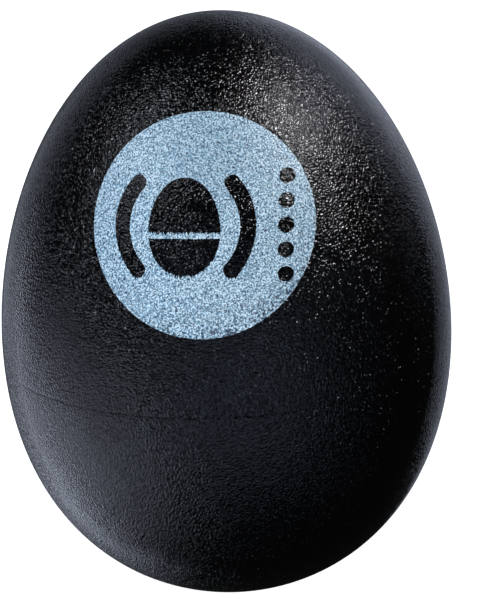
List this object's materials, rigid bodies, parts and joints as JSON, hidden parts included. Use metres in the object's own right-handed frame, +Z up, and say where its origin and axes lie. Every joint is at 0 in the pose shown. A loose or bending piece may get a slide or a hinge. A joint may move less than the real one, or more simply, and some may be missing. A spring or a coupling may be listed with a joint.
{
  "type": "egg shaker",
  "caption": "Hand-held egg shaker: a sealed two-part plastic egg on a small base flat, with a printed disc on its front and loose steel balls inside.",
  "frame": {"origin": "centre of the flat that the egg stands on", "axes": "+Z up along the egg's axis, from the blunt end to the narrow end; -Y is the side with the printed disc"},
  "size_m": [0.045, 0.045, 0.0582],
  "materials": {
    "shell_plastic": "black moulded plastic with a fine leather-like grain and a soft sheen",
    "print_ink": "light blue pad-printed ink, matt, with the shell's grain showing through",
    "ball_steel": "plain bearing-type steel balls, satin"
  },
  "bodies": {
    "shell": {"lower_shell": "shell_plastic", "upper_shell": "shell_plastic", "emblem_print": "print_ink"},
    "steel_ball_01": {"steel_ball_01": "ball_steel"},
    "steel_ball_02": {"steel_ball_02": "ball_steel"},
    "steel_ball_03": {"steel_ball_03": "ball_steel"},
    "steel_ball_04": {"steel_ball_04": "ball_steel"},
    "steel_ball_05": {"steel_ball_05": "ball_steel"},
    "steel_ball_06": {"steel_ball_06": "ball_steel"},
    "steel_ball_07": {"steel_ball_07": "ball_steel"},
    "steel_ball_08": {"steel_ball_08": "ball_steel"},
    "steel_ball_09": {"steel_ball_09": "ball_steel"},
    "steel_ball_10": {"steel_ball_10": "ball_steel"},
    "steel_ball_11": {"steel_ball_11": "ball_steel"},
    "steel_ball_12": {"steel_ball_12": "ball_steel"},
    "steel_ball_13": {"steel_ball_13": "ball_steel"},
    "steel_ball_14": {"steel_ball_14": "ball_steel"},
    "steel_ball_15": {"steel_ball_15": "ball_steel"},
    "steel_ball_16": {"steel_ball_16": "ball_steel"},
    "steel_ball_17": {"steel_ball_17": "ball_steel"},
    "steel_ball_18": {"steel_ball_18": "ball_steel"},
    "steel_ball_19": {"steel_ball_19": "ball_steel"},
    "steel_ball_20": {"steel_ball_20": "ball_steel"},
    "steel_ball_21": {"steel_ball_21": "ball_steel"},
    "steel_ball_22": {"steel_ball_22": "ball_steel"},
    "steel_ball_23": {"steel_ball_23": "ball_steel"},
    "steel_ball_24": {"steel_ball_24": "ball_steel"},
    "steel_ball_25": {"steel_ball_25": "ball_steel"},
    "steel_ball_26": {"steel_ball_26": "ball_steel"},
    "steel_ball_27": {"steel_ball_27": "ball_steel"},
    "steel_ball_28": {"steel_ball_28": "ball_steel"},
    "steel_ball_29": {"steel_ball_29": "ball_steel"},
    "steel_ball_30": {"steel_ball_30": "ball_steel"},
    "steel_ball_31": {"steel_ball_31": "ball_steel"},
    "steel_ball_32": {"steel_ball_32": "ball_steel"},
    "steel_ball_33": {"steel_ball_33": "ball_steel"},
    "steel_ball_34": {"steel_ball_34": "ball_steel"},
    "steel_ball_35": {"steel_ball_35": "ball_steel"},
    "steel_ball_36": {"steel_ball_36": "ball_steel"},
    "steel_ball_37": {"steel_ball_37": "ball_steel"}
  },
  "joints": [
    {"name": "steel_ball_01_toss", "type": "slide", "parent": "shell", "child": "steel_ball_01", "axis": [0, 0, 1], "range_m": [0, 0.0504]},
    {"name": "steel_ball_02_toss", "type": "slide", "parent": "shell", "child": "steel_ball_02", "axis": [0, 0, 1], "range_m": [0, 0.04876]},
    {"name": "steel_ball_03_toss", "type": "slide", "parent": "shell", "child": "steel_ball_03", "axis": [0, 0, 1], "range_m": [0, 0.04876]},
    {"name": "steel_ball_04_toss", "type": "slide", "parent": "shell", "child": "steel_ball_04", "axis": [0, 0, 1], "range_m": [0, 0.04876]},
    {"name": "steel_ball_05_toss", "type": "slide", "parent": "shell", "child": "steel_ball_05", "axis": [0, 0, 1], "range_m": [0, 0.04876]},
    {"name": "steel_ball_06_toss", "type": "slide", "parent": "shell", "child": "steel_ball_06", "axis": [0, 0, 1], "range_m": [0, 0.04876]},
    {"name": "steel_ball_07_toss", "type": "slide", "parent": "shell", "child": "steel_ball_07", "axis": [0, 0, 1], "range_m": [0, 0.04876]},
    {"name": "steel_ball_08_toss", "type": "slide", "parent": "shell", "child": "steel_ball_08", "axis": [0, 0, 1], "range_m": [0, 0.04529]},
    {"name": "steel_ball_09_toss", "type": "slide", "parent": "shell", "child": "steel_ball_09", "axis": [0, 0, 1], "range_m": [0, 0.04529]},
    {"name": "steel_ball_10_toss", "type": "slide", "parent": "shell", "child": "steel_ball_10", "axis": [0, 0, 1], "range_m": [0, 0.04529]},
    {"name": "steel_ball_11_toss", "type": "slide", "parent": "shell", "child": "steel_ball_11", "axis": [0, 0, 1], "range_m": [0, 0.04529]},
    {"name": "steel_ball_12_toss", "type": "slide", "parent": "shell", "child": "steel_ball_12", "axis": [0, 0, 1], "range_m": [0, 0.04529]},
    {"name": "steel_ball_13_toss", "type": "slide", "parent": "shell", "child": "steel_ball_13", "axis": [0, 0, 1], "range_m": [0, 0.04529]},
    {"name": "steel_ball_14_toss", "type": "slide", "parent": "shell", "child": "steel_ball_14", "axis": [0, 0, 1], "range_m": [0, 0.04344]},
    {"name": "steel_ball_15_toss", "type": "slide", "parent": "shell", "child": "steel_ball_15", "axis": [0, 0, 1], "range_m": [0, 0.04344]},
    {"name": "steel_ball_16_toss", "type": "slide", "parent": "shell", "child": "steel_ball_16", "axis": [0, 0, 1], "range_m": [0, 0.04344]},
    {"name": "steel_ball_17_toss", "type": "slide", "parent": "shell", "child": "steel_ball_17", "axis": [0, 0, 1], "range_m": [0, 0.04344]},
    {"name": "steel_ball_18_toss", "type": "slide", "parent": "shell", "child": "steel_ball_18", "axis": [0, 0, 1], "range_m": [0, 0.04344]},
    {"name": "steel_ball_19_toss", "type": "slide", "parent": "shell", "child": "steel_ball_19", "axis": [0, 0, 1], "range_m": [0, 0.04344]},
    {"name": "steel_ball_20_toss", "type": "slide", "parent": "shell", "child": "steel_ball_20", "axis": [0, 0, 1], "range_m": [0, 0.03722]},
    {"name": "steel_ball_21_toss", "type": "slide", "parent": "shell", "child": "steel_ball_21", "axis": [0, 0, 1], "range_m": [0, 0.03722]},
    {"name": "steel_ball_22_toss", "type": "slide", "parent": "shell", "child": "steel_ball_22", "axis": [0, 0, 1], "range_m": [0, 0.03722]},
    {"name": "steel_ball_23_toss", "type": "slide", "parent": "shell", "child": "steel_ball_23", "axis": [0, 0, 1], "range_m": [0, 0.03722]},
    {"name": "steel_ball_24_toss", "type": "slide", "parent": "shell", "child": "steel_ball_24", "axis": [0, 0, 1], "range_m": [0, 0.03722]},
    {"name": "steel_ball_25_toss", "type": "slide", "parent": "shell", "child": "steel_ball_25", "axis": [0, 0, 1], "range_m": [0, 0.03722]},
    {"name": "steel_ball_26_toss", "type": "slide", "parent": "shell", "child": "steel_ball_26", "axis": [0, 0, 1], "range_m": [0, 0.03722]},
    {"name": "steel_ball_27_toss", "type": "slide", "parent": "shell", "child": "steel_ball_27", "axis": [0, 0, 1], "range_m": [0, 0.03722]},
    {"name": "steel_ball_28_toss", "type": "slide", "parent": "shell", "child": "steel_ball_28", "axis": [0, 0, 1], "range_m": [0, 0.03722]},
    {"name": "steel_ball_29_toss", "type": "slide", "parent": "shell", "child": "steel_ball_29", "axis": [0, 0, 1], "range_m": [0, 0.03722]},
    {"name": "steel_ball_30_toss", "type": "slide", "parent": "shell", "child": "steel_ball_30", "axis": [0, 0, 1], "range_m": [0, 0.03722]},
    {"name": "steel_ball_31_toss", "type": "slide", "parent": "shell", "child": "steel_ball_31", "axis": [0, 0, 1], "range_m": [0, 0.03722]},
    {"name": "steel_ball_32_toss", "type": "slide", "parent": "shell", "child": "steel_ball_32", "axis": [0, 0, 1], "range_m": [0, 0.03233]},
    {"name": "steel_ball_33_toss", "type": "slide", "parent": "shell", "child": "steel_ball_33", "axis": [0, 0, 1], "range_m": [0, 0.03233]},
    {"name": "steel_ball_34_toss", "type": "slide", "parent": "shell", "child": "steel_ball_34", "axis": [0, 0, 1], "range_m": [0, 0.03233]},
    {"name": "steel_ball_35_toss", "type": "slide", "parent": "shell", "child": "steel_ball_35", "axis": [0, 0, 1], "range_m": [0, 0.03233]},
    {"name": "steel_ball_36_toss", "type": "slide", "parent": "shell", "child": "steel_ball_36", "axis": [0, 0, 1], "range_m": [0, 0.03233]},
    {"name": "steel_ball_37_toss", "type": "slide", "parent": "shell", "child": "steel_ball_37", "axis": [0, 0, 1], "range_m": [0, 0.03233]}
  ]
}
